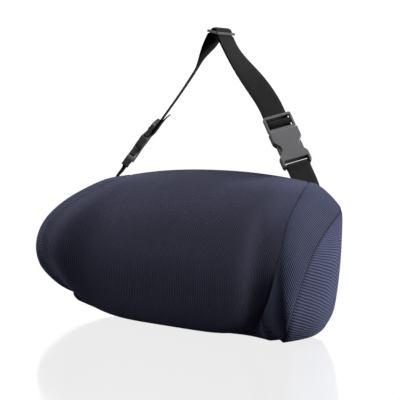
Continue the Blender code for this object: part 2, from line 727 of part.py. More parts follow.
def make_strap(swing):
    """The upper strap: a single webbing that turns at the right buckle and ends at the left one."""
    first = -FRAME_THICKNESS / 2 - GAP - WEBBING_THICKNESS / 2
    lower = FEMALE_LENGTH + 0.0035
    pitch = GLIDE_BAR + GLIDE_SLOT
    tight = GLIDE_BAR / 2 + GAP + WEBBING_THICKNESS / 2 + 0.0003
    wide = tight + PLY
    lip = GLIDE_BAR / 2 + GLIDE_SLOT

    glide = glide_frame()
    place = add_empty("strap_slider_place", Matrix(glide.tolist()), swing)
    half = pitch + GLIDE_BAR / 2
    outline = rounded_rectangle(GLIDE_WIDTH / 2, -half, half, 0.0018)
    frame = plate("strap_slider", outline, GLIDE_BAR, PLASTIC, place)
    bevel(frame, 0.0005)
    inner = WEBBING_WIDTH / 2 + 0.0006
    for name, sign in (("near", -1), ("far", 1)):
        edges = sorted((sign * GLIDE_BAR / 2, sign * (GLIDE_BAR / 2 + GLIDE_SLOT)))
        combine(frame, box("strap_slider_slot_" + name, (-inner, edges[0], -0.01),
                           (inner, edges[1], 0.01), None, place), "DIFFERENCE")

    def passing(sign, approach):
        """Under an outer bar, up through the slot and over the middle bar."""
        run = approach + [(pitch, -tight), (lip + 0.0002, -tight), (lip - 0.0006, -tight + 0.0003),
                          (lip - 0.0010, -0.0012), (wide, 0.0)]
        run += arc(0.0, wide, (30, 60)) + [(0.0003, wide)]
        return [(sign * along, outward) for along, outward in run]

    approach = [(pitch + 0.0045, -tight - 0.0044), (pitch + 0.0012, -tight - 0.0009)]
    centres, across = leg_line("right", first, passing(-1, approach), lower, 0.010, 0.25)
    webbing("strap_webbing_right_outer", centres, across, swing)
    hem = -tight - 2 * PLY
    sewn = ([(-lip + 0.0004, -tight - PLY), (-0.0036, -0.0035), (-0.00275, -0.0017)]
            + arc(0.0, tight, (180, 150, 120, 90, 60, 30, 0, -30, -60))
            + [(0.0, -0.0031), (-0.0016, hem + 0.0015), (-0.0036, hem + 0.0003), (-pitch, hem - 0.0004)])
    stop = placed(glide, in_plane([(-pitch - 0.0005, -tight)]))[0]
    webbing("strap_webbing_right_inner", *follow(centres, across, stop, sewn), swing)
    approach = [(pitch + 0.0030, -tight - 0.0065), (pitch + 0.0012, -tight - 0.0012)]
    centres, across = leg_line("left", first, passing(1, approach), lower, 0.026, 0.6)
    webbing("strap_webbing_left", centres, across, swing)

    frame = buckle_frame("left")
    head = FEMALE_LENGTH + GAP + FRAME_LENGTH
    under = first - PLY
    tail = [(lower, under), ((lower + head) / 2, under), (head, under), (head + 0.008, under - 0.0006),
            (head + 0.013, under - 0.0018)]
    centres = smooth_curve(placed(frame, in_plane(tail)), 20)
    webbing("left_strap_tail", centres, np.tile(frame[:3, 0], (20, 1)), swing)


def make_buckles():
    pivot = Matrix.Translation((0.0, BACK + STRAP_STANDOFF, ANCHOR_HEIGHT))
    swing = add_empty("strap_swing_axis", pivot)
    for side in BUCKLES:
        frame = Matrix(buckle_frame(side).tolist())
        socket = add_empty(side + "_buckle_place", frame, swing)
        slide = add_empty(side + "_buckle_slide", frame, swing)
        make_stub(side, swing)
        female_half(side, socket)
        male_half(side, slide)
        make_wrap(side, slide)
        for end, sign in (("front", -1), ("rear", 1)):
            release_arm(side, end, sign, slide)
    make_strap(swing)


remove_everything()
PARTS = collection("lumbar_support_cushion")
CUTTERS = collection("cutters")
SMOOTH_FABRIC = material("navy_mesh_fabric", (0.020, 0.023, 0.055), 0.90)
RIBBED_FABRIC = material("navy_ribbed_mesh_fabric", (0.030, 0.035, 0.085), 0.90)
LINER_CLOTH = material("white_liner_cloth", (0.75, 0.75, 0.72), 0.95)
FOAM = material("cream_memory_foam", (0.85, 0.78, 0.60), 0.98)
TAPE = material("navy_zip_tape", (0.018, 0.020, 0.045), 0.85)
NYLON = material("navy_nylon_coil", (0.015, 0.017, 0.035), 0.50)
METAL = material("nickel_plated_zinc", (0.55, 0.55, 0.56), 0.30, 1.0)
WEBBING = material("black_polypropylene_webbing", (0.022, 0.022, 0.024), 0.75)
PLASTIC = material("black_acetal_plastic", (0.020, 0.020, 0.022), 0.40)
make_cushion()
make_zip()
make_buckles()
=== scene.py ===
"""Lumbar support cushion with its chair strap: a firm foam wedge in a sewn spacer-mesh cover,
hung from a loop of black webbing by two side-release buckles. Metres; X is the width, -Y the front,
Z up, and the origin lies on the underside."""
import math

import bmesh
import bpy
import numpy as np
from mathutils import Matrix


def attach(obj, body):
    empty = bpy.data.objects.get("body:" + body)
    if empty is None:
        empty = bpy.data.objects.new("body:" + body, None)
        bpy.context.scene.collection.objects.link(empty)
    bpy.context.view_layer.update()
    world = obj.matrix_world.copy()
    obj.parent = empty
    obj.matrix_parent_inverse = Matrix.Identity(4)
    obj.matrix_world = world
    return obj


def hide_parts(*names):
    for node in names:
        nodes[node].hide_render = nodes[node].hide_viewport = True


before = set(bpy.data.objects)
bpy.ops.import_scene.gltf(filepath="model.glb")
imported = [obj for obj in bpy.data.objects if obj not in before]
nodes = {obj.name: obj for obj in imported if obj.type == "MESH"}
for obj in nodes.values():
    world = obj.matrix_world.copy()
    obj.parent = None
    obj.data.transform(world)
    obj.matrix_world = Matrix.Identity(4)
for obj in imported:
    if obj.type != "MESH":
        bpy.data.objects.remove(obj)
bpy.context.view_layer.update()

# Camera, floor and light
# A table-top product view from the right front, a little above level, on a light table in a
# white room. Soft boxes stand behind the right end, to the left, above and in front.

camera_data = bpy.data.cameras.new("studio_camera")
camera_data.sensor_width = 36.0
camera_data.lens = 104.8
camera = bpy.data.objects.new("studio_camera", camera_data)
bpy.context.scene.collection.objects.link(camera)
turn, rise, distance = math.radians(42.0), math.radians(3.8), 1.2
aim = np.array([0.0183, 0.0075, 0.1306])
away = np.array([math.sin(turn) * math.cos(rise), -math.cos(turn) * math.cos(rise), math.sin(rise)])
camera.location = aim + away * distance
camera.rotation_euler = (math.pi / 2 - rise, 0.0, turn)
bpy.context.scene.camera = camera
bpy.context.scene.view_settings.view_transform = "Standard"


def linear(code):
    """An sRGB hex colour as linear red, green, blue and full alpha."""
    values = np.array([int(code[start:start + 2], 16) for start in (1, 3, 5)]) / 255
    values = np.where(values <= 0.04045, values / 12.92, ((values + 0.055) / 1.055) ** 2.4)
    return (*values, 1.0)


def new_finish(name, colour, roughness):
    """A material with its shader's colour and roughness set; returns it, its tree and its shader."""
    finish = bpy.data.materials.new(name)
    finish.use_nodes = True
    shader = finish.node_tree.nodes["Principled BSDF"]
    shader.inputs["Base Color"].default_value = linear(colour)
    shader.inputs["Roughness"].default_value = roughness
    return finish, finish.node_tree, shader


def add_node(tree, kind, settings=(), links=()):
    """A node of a kind, with its settings by attribute or socket and links to its inputs."""
    node = tree.nodes.new(kind)
    for key, value in dict(settings).items():
        if isinstance(key, str) and hasattr(node, key):
            setattr(node, key, value)
        else:
            node.inputs[key].default_value = value
    for key, source in dict(links).items():
        tree.links.new(source, node.inputs[key])
    return node


# Light table: opal acrylic lit from below, so nothing on it throws a shadow, and its polished face
# gives a weak mirror of the cushion.
board = bpy.data.materials.new("lit_opal_acrylic")
board.use_nodes = True
tree = board.node_tree
tree.nodes.clear()
ray = add_node(tree, "ShaderNodeLightPath")
glow_level = add_node(tree, "ShaderNodeMapRange", {"To Min": 0.05, "To Max": 0.82},
                      {"Value": ray.outputs["Is Camera Ray"]})
glow = add_node(tree, "ShaderNodeEmission", {}, {"Strength": glow_level.outputs["Result"]})
polish_level = add_node(tree, "ShaderNodeMapRange", {"To Min": 0.0, "To Max": 0.62},
                        {"Value": ray.outputs["Is Camera Ray"]})
polish = add_node(tree, "ShaderNodeBsdfGlossy", {"Roughness": 0.10},
                  {"Color": polish_level.outputs["Result"]})
both = add_node(tree, "ShaderNodeAddShader", {}, {0: glow.outputs["Emission"], 1: polish.outputs["BSDF"]})
add_node(tree, "ShaderNodeOutputMaterial", {}, {"Surface": both.outputs["Shader"]})
floor_mesh = bpy.data.meshes.new("floor")
corners = [(-6, -6, -0.0005), (6, -6, -0.0005), (6, 6, -0.0005), (-6, 6, -0.0005)]
floor_mesh.from_pydata(corners, [], [(0, 1, 2, 3)])
floor_mesh.materials.append(board)
floor = bpy.data.objects.new("floor", floor_mesh)
bpy.context.scene.collection.objects.link(floor)

world = bpy.data.worlds.new("studio")
bpy.context.scene.world = world
world.use_nodes = True
sky = world.node_tree.nodes["Background"]
sky.inputs["Color"].default_value = (1.0, 1.0, 1.0, 1.0)
seen = add_node(world.node_tree, "ShaderNodeLightPath")
level = add_node(world.node_tree, "ShaderNodeMapRange", {"To Min": 0.30, "To Max": 1.05},
                 {"Value": seen.outputs["Is Camera Ray"]})
world.node_tree.links.new(level.outputs["Result"], sky.inputs["Strength"])


def soft_box(name, place, size, power):
    """An area light at a place, facing the middle of the cushion."""
    data = bpy.data.lights.new(name, "AREA")
    data.size = size
    data.energy = power
    item = bpy.data.objects.new(name, data)
    bpy.context.scene.collection.objects.link(item)
    item.location = place
    direction = np.array([0.0, 0.0, 0.12]) - np.array(place)
    tip = math.atan2(math.hypot(direction[0], direction[1]), -direction[2])
    item.rotation_euler = (tip, 0.0, math.atan2(direction[1], direction[0]) - math.pi / 2)


soft_box("key_box", (1.4, 0.75, 0.75), 0.7, 62.0)
soft_box("top_box", (0.1, 0.2, 1.7), 1.0, 14.0)
soft_box("front_box", (-0.9, -1.1, 1.2), 1.0, 17.0)
soft_box("left_box", (-1.5, -0.2, 0.9), 0.8, 16.0)

# Cushion cover
# The panels of the cover over the foam: a smooth knitted front, ribbed spacer mesh on the wings'
# sides, the underside, the ends and the back. They are sewn inside out, so each seam is a thin
# sunk line, and the foam fills the cover tightly. The zip opening crosses the back low down.

HALF_WIDTH, DEPTH, HEIGHT = 0.176, 0.101, 0.160
FRONT, BACK = -DEPTH / 2, DEPTH / 2
FRONT_SEAM = ((0.750, 0.168, 0.169), (0.852, 0.069, 0.294), (0.926, 0.0, 0.462),
              (0.932, 0.089, 0.612), (0.875, 0.327, 0.750), (0.790, 0.723, 0.888), (0.716, 1.0, 0.944))
CENTRE_LINE = ((0.0, 0.400, 0.0), (0.0, 0.250, 0.018), (0.0, 0.158, 0.125), (0.0, 0.130, 0.310),
               (0.0, 0.178, 0.500), (0.0, 0.347, 0.720), (0.0, 0.644, 0.890), (0.0, 1.0, 1.0))
END_SEAM = ((0.852, 0.300, 0.012), (0.915, 0.215, 0.085), (0.955, 0.180, 0.175), (0.977, 0.198, 0.275),
            (1.0, 0.277, 0.425), (1.0, 0.416, 0.556), (0.983, 0.624, 0.656), (0.966, 0.851, 0.744),
            (0.943, 1.0, 0.788))
LIFTED_END_SEAM = ((0.770, 0.600, 0.080), (0.850, 0.500, 0.100), (0.910, 0.400, 0.150),
                   (0.955, 0.320, 0.230), (0.990, 0.300, 0.400), (0.995, 0.416, 0.556),
                   (0.983, 0.624, 0.656), (0.966, 0.851, 0.744), (0.943, 1.0, 0.788))
BACK_EDGE = ((0.820, 1.0, 0.030), (0.890, 1.0, 0.150), (0.920, 1.0, 0.300), (0.938, 1.0, 0.475),
             (0.945, 1.0, 0.656), (0.943, 1.0, 0.788))
LIFTED_BACK_EDGE = ((0.740, 1.0, 0.095), (0.840, 1.0, 0.170), (0.900, 1.0, 0.320), (0.938, 1.0, 0.475),
                    (0.945, 1.0, 0.656), (0.943, 1.0, 0.788))
ROWS, FRONT_COLUMNS, GUSSET_COLUMNS, END_COLUMNS = 96, 150, 26, 34
BASE_ROLL = 0.018
ZIP_LOW, ZIP_HIGH, ZIP_REACH, ZIP_DEPTH = 0.0345, 0.0455, 0.158, 0.0045


def run_length(points):
    """Distance along a line at each of its points."""
    return np.concatenate(([0.0], np.cumsum(np.linalg.norm(np.diff(points, axis=0), axis=1))))


def flowing(points, count):
    """Catmull-Rom curve through the points, cut into evenly spaced samples."""
    given = np.asarray(points, float)
    knots = np.vstack((2 * given[0] - given[1], given, 2 * given[-1] - given[-2]))
    t = np.linspace(0.0, 1.0, 24, endpoint=False)[:, None]
    pieces = []
    for a, b, c, d in zip(knots, knots[1:], knots[2:], knots[3:]):
        pieces.append(0.5 * (2 * b + (c - a) * t + (2 * a - 5 * b + 4 * c - d) * t ** 2
                             + (3 * b - a - 3 * c + d) * t ** 3))
    fine = np.vstack(pieces + [given[-1:]])
    along = run_length(fine)
    samples = np.linspace(0.0, along[-1], count)
    return np.column_stack([np.interp(samples, along, fine[:, axis]) for axis in range(3)])


def rail(shares, count):
    """A seam line from its shares of the half width, depth and height."""
    return flowing(np.array(shares) * (HALF_WIDTH, DEPTH, HEIGHT) + (0.0, FRONT, 0.0), count)


def front_panel(seam, centre):
    """Each row sweeps from seam to seam: the centre line's point in the middle, blended to the seam
    by a power of the distance out, with a rounded ridge where the hollow meets the wing."""
    side = np.linspace(-1.0, 1.0, FRONT_COLUMNS + 1)[None, :, None]
    blend = np.abs(side) ** np.linspace(4.8, 2.2, ROWS + 1)[:, None, None]
    rows = centre[:, None, :] * (1 - blend) + seam[:, None, :] * blend
    rows[:, :, 0] = seam[:, None, 0] * side[:, :, 0]
    height = np.linspace(0.0, 1.0, ROWS + 1)[:, None]
    share = np.abs(side[:, :, 0])
    ridge = np.exp(-((share - 0.84) / 0.12) ** 2)
    ridge -= ridge[:, -1:] * share ** 12
    rows[:, :, 1] -= 0.009 * ridge * np.sin(np.pi * height) ** 1.3
    return rows


def gusset_panel(seam, end_seam, crown, skew, radial, top_loss):
    """A ruled strip between two seams, bowed outwards by a skewed parabola: its crown is in metres,
    a smaller skew brings it nearer the front seam, radial turns it from the strip's own normal
    towards the direction square to the seam as seen from the front, and top_loss is the share of
    the crown that is gone where the strip ends at the back's top edge."""
    across = np.linspace(0.0, 1.0, GUSSET_COLUMNS + 1)[None, :, None]
    strip = seam[:, None] * (1 - across) + end_seam[:, None] * across
    outward = np.cross(np.gradient(seam + end_seam, axis=0), end_seam - seam)
    outward /= np.linalg.norm(outward, axis=1)[:, None]
    from_heart = (seam + end_seam) / 2 - (0.0, BACK, HEIGHT / 2)
    outward *= np.sign(np.sum(outward * from_heart, axis=1))[:, None]
    travel = np.gradient(seam, axis=0)
    square = np.column_stack((travel[:, 2], np.zeros(len(seam)), -travel[:, 0]))
    square /= np.linalg.norm(square, axis=1)[:, None]
    outward = outward * (1 - radial) + square * radial
    lean = math.radians(58)
    outward[-1] = (math.cos(lean), 0.0, math.sin(lean))
    smooth = np.array([outward[max(0, i - 8):i + 9].mean(axis=0) for i in range(ROWS + 1)])
    smooth /= np.linalg.norm(smooth, axis=1)[:, None]
    height = np.linspace(0.0, 1.0, ROWS + 1)[:, None, None]
    skewed = across ** skew
    fullness = np.minimum(0.25 + 3 * height, 1.0) * (1 - top_loss * height ** 4)
    return strip + crown * fullness * 4 * skewed * (1 - skewed) * smooth[:, None]


def end_panel(end_seam, edge):
    """A ruled sheet between the end seam and the back edge, crowned a few millimetres outwards."""
    across = np.linspace(0.0, 1.0, END_COLUMNS + 1)[None, :, None]
    sheet = end_seam[:, None] * (1 - across) + edge[:, None] * across
    height = np.linspace(0.0, 1.0, ROWS + 1)[:, None]
    sheet[:, :, 0] += 0.009 * np.sin(np.pi * across[:, :, 0]) * (1 - height ** 3)
    return sheet


def underside(front_row, right_end, left_end):
    """A quarter-round roll down from the front row, then flat, lifting a little at the ends."""
    side = front_row[:, 0] / HALF_WIDTH
    depth = np.linspace(0.0, 1.0, END_COLUMNS + 1)[:, None] ** 1.5
    lift = right_end[-1, 2] * np.clip((np.abs(side) - 0.6) / 0.25, 0.0, 1.0) ** 2
    lift = lift + 0.014 * np.clip((-side - 0.45) / 0.35, 0.0, 1.0) ** 2
    share = np.linspace(-1.0, 1.0, len(side))
    wide = side / np.where(side > 0, side[-1] / right_end[-1, 0], side[0] / left_end[-1, 0])
    back_row = np.column_stack((wide, np.full(len(side), BACK), lift))
    sheet = front_row[None] * (1 - depth[..., None]) + back_row[None] * depth[..., None]
    run = sheet[:, :, 1] - front_row[None, :, 1]
    roll = 1 - np.sqrt(1 - np.clip(1 - run / BASE_ROLL, 0.0, 1.0) ** 2)
    sheet[:, :, 2] = front_row[None, :, 2] * roll + lift * (1 - roll)
    reach = np.clip((np.abs(share) - 0.9) / 0.1, 0.0, 1.0)[None, :, None] ** 2
    ends = np.where(share[None, :, None] > 0, right_end[:, None], left_end[:, None])
    edges = np.where(share[None, :, None] > 0, sheet[:, -1:], sheet[:, :1])
    return sheet + (ends - edges) * reach


def back_panel(top_row, bottom_row, right_edge, left_edge):
    """A flat sheet between the underside's rear edge and the top edge, its sides on the end seams,
    with a channel where the zip lies."""
    share = ((right_edge[:, 2] - right_edge[0, 2]) / (right_edge[-1, 2] - right_edge[0, 2]))[:, None, None]
    sheet = bottom_row[None] * (1 - share) + top_row[None] * share
    right_scale = right_edge[:, :1] / sheet[:, -1:, 0]
    left_scale = -left_edge[:, :1] / sheet[:, :1, 0]
    sheet[:, :, 0] *= np.where(sheet[:, :, 0] > 0, right_scale, left_scale)
    side = np.linspace(-1.0, 1.0, sheet.shape[1])[None, :]
    sheet[:, :, 2] += (left_edge[:, 2:] - sheet[:, :1, 2]) * np.clip(-side, 0.0, 1.0) ** 6
    in_zip = (sheet[:, :, 2] > ZIP_LOW) & (sheet[:, :, 2] < ZIP_HIGH) & (np.abs(sheet[:, :, 0]) < ZIP_REACH)
    sheet[:, :, 1] -= np.where(in_zip, ZIP_DEPTH, 0.0)
    return sheet


# The right side is the master; the left side is its mirror, with a lifted end.
mirror = np.array([-1.0, 1.0, 1.0])
seam = rail(FRONT_SEAM, ROWS + 1)
centre = rail(CENTRE_LINE, ROWS + 1)
end_seam = rail(END_SEAM, ROWS + 1)
lifted_seam = rail(LIFTED_END_SEAM, ROWS + 1)
edge = rail(BACK_EDGE, ROWS + 1)
lifted_edge = rail(LIFTED_BACK_EDGE, ROWS + 1)
front = front_panel(seam, centre)
gusset = gusset_panel(seam, end_seam, 0.008, 0.75, 0.2, 0.45)
end = end_panel(end_seam, edge)
left_gusset = gusset_panel(seam, lifted_seam, 0.014, 0.50, 0.7, 0.85)[:, ::-1] * mirror
left_end = end_panel(lifted_seam, lifted_edge)[:, ::-1] * mirror
bottom_row = np.concatenate((left_gusset[0, :-1], front[0], gusset[0, 1:]))
top_row = np.concatenate((left_gusset[-1, :-1], front[-1], gusset[-1, 1:]))
base = underside(bottom_row, end[0], left_end[0, ::-1])
back = back_panel(top_row, base[-1], edge, lifted_edge)


def edge_distance(grid, sides):
    """Distance of each point of a grid from the sewn sides named, measured along the cloth."""
    rows = np.concatenate((np.zeros((1, grid.shape[1])),
                           np.cumsum(np.linalg.norm(np.diff(grid, axis=0), axis=2), axis=0)))
    columns = np.concatenate((np.zeros((grid.shape[0], 1)),
                              np.cumsum(np.linalg.norm(np.diff(grid, axis=1), axis=2), axis=1)), axis=1)
    measures = {"low": rows, "high": rows[-1:] - rows, "left": columns, "right": columns[:, -1:] - columns}
    nearest = np.full(grid.shape[:2], 1.0)
    for side in sides:
        nearest = np.minimum(nearest, measures[side])
    flat = np.stack((columns - columns[:, -1:] / 2, rows), axis=2)
    return nearest, flat


def sunk(grid, sides, depth=0.0012, width=0.0020):
    """The grid with its sewn sides drawn in: a bell-shaped dip along each seam."""
    nearest, flat = edge_distance(grid, sides)
    dip = depth * np.exp(-(nearest / width) ** 2)
    middle = np.array([0.0, 0.012, 0.07])
    inward = middle - grid
    inward /= np.linalg.norm(inward, axis=2)[..., None]
    return grid + inward * dip[..., None], nearest, flat


CLOTHS = {"front": 0, "ribbed": 1, "end": 2}
panels = (
    (front, ("left", "right"), "front", False),
    (gusset, ("left", "right"), "ribbed", False),
    (left_gusset, ("left", "right"), "ribbed", False),
    (end, ("left", "low", "right"), "end", False),
    (left_end, ("right", "low", "left"), "end", False),
    (base, ("left", "right", "high"), "ribbed", True),
    (back, ("left", "right", "low", "high"), "ribbed", True),
)


def sewn_cover(panels):
    """All panels in one mesh, with cloth, flat and seam attributes; their shared edges are welded
    afterwards by closed.
    """
    points, faces, cloths, flats, seams = [], [], [], [], []
    start = 0
    for grid, sides, cloth, turned in panels:
        shaped, nearest, flat = sunk(grid, sides)
        rows, columns = grid.shape[:2]
        index = start + np.arange(rows * columns).reshape(rows, columns)
        quads = np.stack((index[:-1, :-1], index[:-1, 1:], index[1:, 1:], index[1:, :-1]), axis=-1)
        points.append(shaped.reshape(-1, 3))
        faces.append(quads.reshape(-1, 4))
        cloths.append(np.full((rows - 1) * (columns - 1), CLOTHS[cloth]))
        flats.append(flat.reshape(-1, 2))
        seams.append(nearest.reshape(-1))
        start += rows * columns
    points, faces = np.vstack(points), np.vstack(faces)
    mesh = bpy.data.meshes.new("cushion_cover")
    mesh.from_pydata(points.tolist(), [], faces.tolist())
    mesh.polygons.foreach_set("material_index", np.concatenate(cloths).astype(np.int32))
    layer = mesh.uv_layers.new(name="cloth")
    corner = np.zeros(len(mesh.loops), np.int32)
    mesh.loops.foreach_get("vertex_index", corner)
    layer.data.foreach_set("uv", np.vstack(flats)[corner].astype(np.float32).ravel())
    edge_mark = mesh.attributes.new("seam", "FLOAT", "POINT")
    edge_mark.data.foreach_set("value", np.concatenate(seams).astype(np.float32))
    return mesh


def closed(mesh, gap=0.00004):
    """Welds a mesh's doubled points and turns its faces outwards."""
    shape = bmesh.new()
    shape.from_mesh(mesh)
    bmesh.ops.remove_doubles(shape, verts=shape.verts, dist=gap)
    bmesh.ops.recalc_face_normals(shape, faces=shape.faces)
    for face in shape.faces:
        face.smooth = True
    shape.to_mesh(mesh)
    shape.free()


def put(name, mesh, finishes, body):
    """An object at the origin with its finishes, riding on a body."""
    item = bpy.data.objects.new(name, mesh)
    bpy.context.scene.collection.objects.link(item)
    for finish in finishes:
        mesh.materials.append(finish)
    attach(item, body)
    return item


def knitted(name, dark, light, pitch, cross_pitch, slant, rib_shade_contrast, bump):
    """Polyester spacer mesh: ribs of knitted yarn a pitch apart, cut into stitches by a finer cross
    pitch. Its colour has a painted highlight on the rib tops and painted shade in the sunk rows between
    them, and darker painted shade still along the sunk seams."""
    finish, tree, shader = new_finish(name, dark, 0.9)
    flat = add_node(tree, "ShaderNodeUVMap", {"uv_map": "cloth"})
    turned = add_node(tree, "ShaderNodeMapping", {"Rotation": (0.0, 0.0, math.radians(slant))},
                      {"Vector": flat.outputs["UV"]})
    axes = add_node(tree, "ShaderNodeSeparateXYZ", {}, {"Vector": turned.outputs["Vector"]})
    place = add_node(tree, "ShaderNodeTexCoord")
    drift = add_node(tree, "ShaderNodeTexNoise", {"Scale": 55.0, "Detail": 3.0},
                     {"Vector": place.outputs["Object"]})
    fibre = add_node(tree, "ShaderNodeTexNoise", {"Scale": 1400.0, "Detail": 2.0},
                     {"Vector": place.outputs["Object"]})
    patchy = add_node(tree, "ShaderNodeTexNoise", {"Scale": 14.0, "Detail": 4.0},
                      {"Vector": place.outputs["Object"]})
    # Ribs are a sine across the cloth that wanders a little, stitches a sine along it, and their
    # product adds the cells between them: height = 0.5 + 0.36 rib + 0.14 rib x stitch.
    across = add_node(tree, "ShaderNodeMath", {"operation": "MULTIPLY_ADD", 1: pitch * 0.9},
                      {0: drift.outputs["Fac"], 2: axes.outputs["X"]})
    rib_turns = add_node(tree, "ShaderNodeMath", {"operation": "MULTIPLY", 1: 2 * math.pi / pitch},
                         {0: across.outputs["Value"]})
    rib = add_node(tree, "ShaderNodeMath", {"operation": "SINE"}, {0: rib_turns.outputs["Value"]})
    stitch_turns = add_node(tree, "ShaderNodeMath", {"operation": "MULTIPLY", 1: 2 * math.pi / cross_pitch},
                            {0: axes.outputs["Y"]})
    stitch = add_node(tree, "ShaderNodeMath", {"operation": "SINE"}, {0: stitch_turns.outputs["Value"]})
    weight = add_node(tree, "ShaderNodeMath", {"operation": "MULTIPLY_ADD", 1: 0.14, 2: 0.36},
                      {0: stitch.outputs["Value"]})
    height = add_node(tree, "ShaderNodeMath", {"operation": "MULTIPLY_ADD", 2: 0.5},
                      {0: rib.outputs["Value"], 1: weight.outputs["Value"]})
    # The tone lightens with rib height, a painted highlight on the rib tops and painted shade in the sunk
    # rows, with specks of fibre and broad patches.
    ribbed = add_node(tree, "ShaderNodeMath", {"operation": "MULTIPLY_ADD", 1: rib_shade_contrast, 2: -0.30},
                      {0: height.outputs["Value"]})
    specked = add_node(tree, "ShaderNodeMath", {"operation": "MULTIPLY_ADD", 1: 0.35},
                       {0: fibre.outputs["Fac"], 2: ribbed.outputs["Value"]})
    share = add_node(tree, "ShaderNodeMath", {"operation": "MULTIPLY_ADD", 1: 0.25},
                     {0: patchy.outputs["Fac"], 2: specked.outputs["Value"]})
    tone = add_node(tree, "ShaderNodeMix", {"data_type": "RGBA", 6: linear(dark), 7: linear(light)},
                    {0: share.outputs["Value"]})
    # Painted shade: the colour goes almost black along each sunk seam line.
    seam = add_node(tree, "ShaderNodeAttribute", {"attribute_name": "seam"})
    near = add_node(tree, "ShaderNodeMapRange", {"From Min": 0.0004, "From Max": 0.0016, "To Min": 0.25},
                    {"Value": seam.outputs["Fac"]})
    seam_painted_shade = add_node(tree, "ShaderNodeMix", {"data_type": "RGBA", 6: linear("#08080c")},
                         {0: near.outputs["Result"], 7: tone.outputs[2]})
    tree.links.new(seam_painted_shade.outputs[2], shader.inputs["Base Color"])
    ribs = add_node(tree, "ShaderNodeBump", {"Strength": bump, "Distance": 0.0006},
                    {"Height": height.outputs["Value"]})
    folds = add_node(tree, "ShaderNodeBump", {"Strength": 0.35, "Distance": 0.004},
                     {"Height": patchy.outputs["Fac"], "Normal": ribs.outputs["Normal"]})
    tree.links.new(folds.outputs["Normal"], shader.inputs["Normal"])
    shader.inputs["Sheen Weight"].default_value = 0.25
    shader.inputs["Sheen Roughness"].default_value = 0.45
    shader.inputs["Sheen Tint"].default_value = linear("#8c90b4")
    shader.inputs["Specular IOR Level"].default_value = 0.15
    return finish


# Smooth polyester knit of the front, a fine upright rib of 2.4 mm.
smooth_knit = knitted("navy_smooth_knit", "#11111c", "#36364e", 0.0024, 0.0018, 0.0, 0.65, 0.7)
# Spacer mesh of the wings' sides, the underside and the back, its ribs laid on the slant.
ribbed_mesh = knitted("navy_ribbed_spacer_mesh", "#0a0b13", "#3c4058", 0.0024, 0.0020, 118.0, 0.85, 0.9)
# The same mesh in a wider rib on the two ends, its colour painted lighter to stand in for the key light
# falling on them.
ends_painted_lighter_mesh = knitted("navy_spacer_mesh_ends_painted_lighter", "#171928", "#4d516c", 0.0028, 0.0022, 114.0, 0.75, 0.9)
cover_mesh = sewn_cover(panels)
closed(cover_mesh)
cover = put("cushion_cover", cover_mesh, (smooth_knit, ribbed_mesh, ends_painted_lighter_mesh), "cushion")
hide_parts("cover_front_panel", "cover_gusset_and_base", "cover_end_panel_right",
            "cover_end_panel_left", "cover_back_panel_lower", "cover_back_panel_upper",
            "foam_liner", "foam_core")

# Strap webbing
# Heavy black polypropylene webbing, 25 mm wide and 1.4 mm thick, woven in a close rib. Short ends
# are sewn to the back and turned round each socket's bar; the long one runs through both plugs.

# Each buckle's foot and head, measured from the back panel, and the way its width runs.
BUCKLES = {"right": {"foot": (0.1003, 0.0155, 0.1664), "head": (0.0653, 0.0225, 0.2178),
                     "across": (0.55, 0.80, 0.26)},
           "left": {"foot": (-0.1486, 0.0160, 0.1633), "head": (-0.1111, 0.0275, 0.2118),
                    "across": (0.504, -0.843, -0.19)}}
WEB_WIDTH, WEB_THICK, AIR = 0.025, 0.0014, 0.0003
PLY = WEB_THICK + 2 * AIR
SOCKET, LADDER, LADDER_THICK, BAR = 0.043, 0.0187, 0.0044, 0.003
GLIDE_BAR, GLIDE_SLOT, HEM = 0.0024, 0.0045, 0.016


def unit(vector):
    """The vector at length one."""
    return np.asarray(vector) / np.linalg.norm(vector)


def curved_run(start, leaving, end, arriving, count):
    """Cubic Bezier curve that leaves and arrives along two directions, its reach 0.28 of the span."""
    reach = np.linalg.norm(end - start) * 0.28
    t = np.linspace(0.0, 1.0, count)[:, None]
    return (start * (1 - t) ** 3 + 3 * (start + leaving * reach) * t * (1 - t) ** 2
            + 3 * (end - arriving * reach) * t ** 2 * (1 - t) + end * t ** 3)


def turn_about(middle, radius, angles):
    """Places on a circle about a bar, along and outward."""
    return [(middle + radius * math.cos(angle), radius * math.sin(angle)) for angle in np.radians(angles)]


def buckle_axes(side):
    """Rows of across, along and outward directions of a buckle, and its foot."""
    data = BUCKLES[side]
    foot = np.array(data["foot"]) + (0.0, BACK, 0.0)
    along = unit(np.array(data["head"]) + (0.0, BACK, 0.0) - foot)
    across = np.asarray(data["across"])
    across = unit(across - across.dot(along) * along)
    return np.array((across, along, np.cross(across, along))), foot


def glide_axes():
    """Rows of across, along and outward directions of the slider, and the place of its middle bar."""
    tilt = math.radians(14)
    across = np.array([0.0, 1.0, 0.0])
    along = np.array([-math.cos(tilt), 0.0, math.sin(tilt)])
    return np.array((across, along, np.cross(across, along))), np.array([-0.013, BACK + 0.026, 0.3075])


def set_out(axes, places):
    """Places given along and outward, as points in the cushion's frame."""
    directions, origin = axes
    places = np.asarray(places, float)
    return places[:, :1] * directions[1] + places[:, 1:] * directions[2] + origin


def nearest(centres, point):
    """Index of the line's point that is closest to a point."""
    return int(np.argmin(np.linalg.norm(centres - point, axis=1)))


def squared(centres, across):
    """Across directions made square to the line of travel, and the band's normals."""
    along = np.gradient(centres, axis=0)
    along /= np.linalg.norm(along, axis=1)[:, None]
    across = across - np.sum(across * along, axis=1)[:, None] * along
    across /= np.linalg.norm(across, axis=1)[:, None]
    return across, np.cross(across, along)


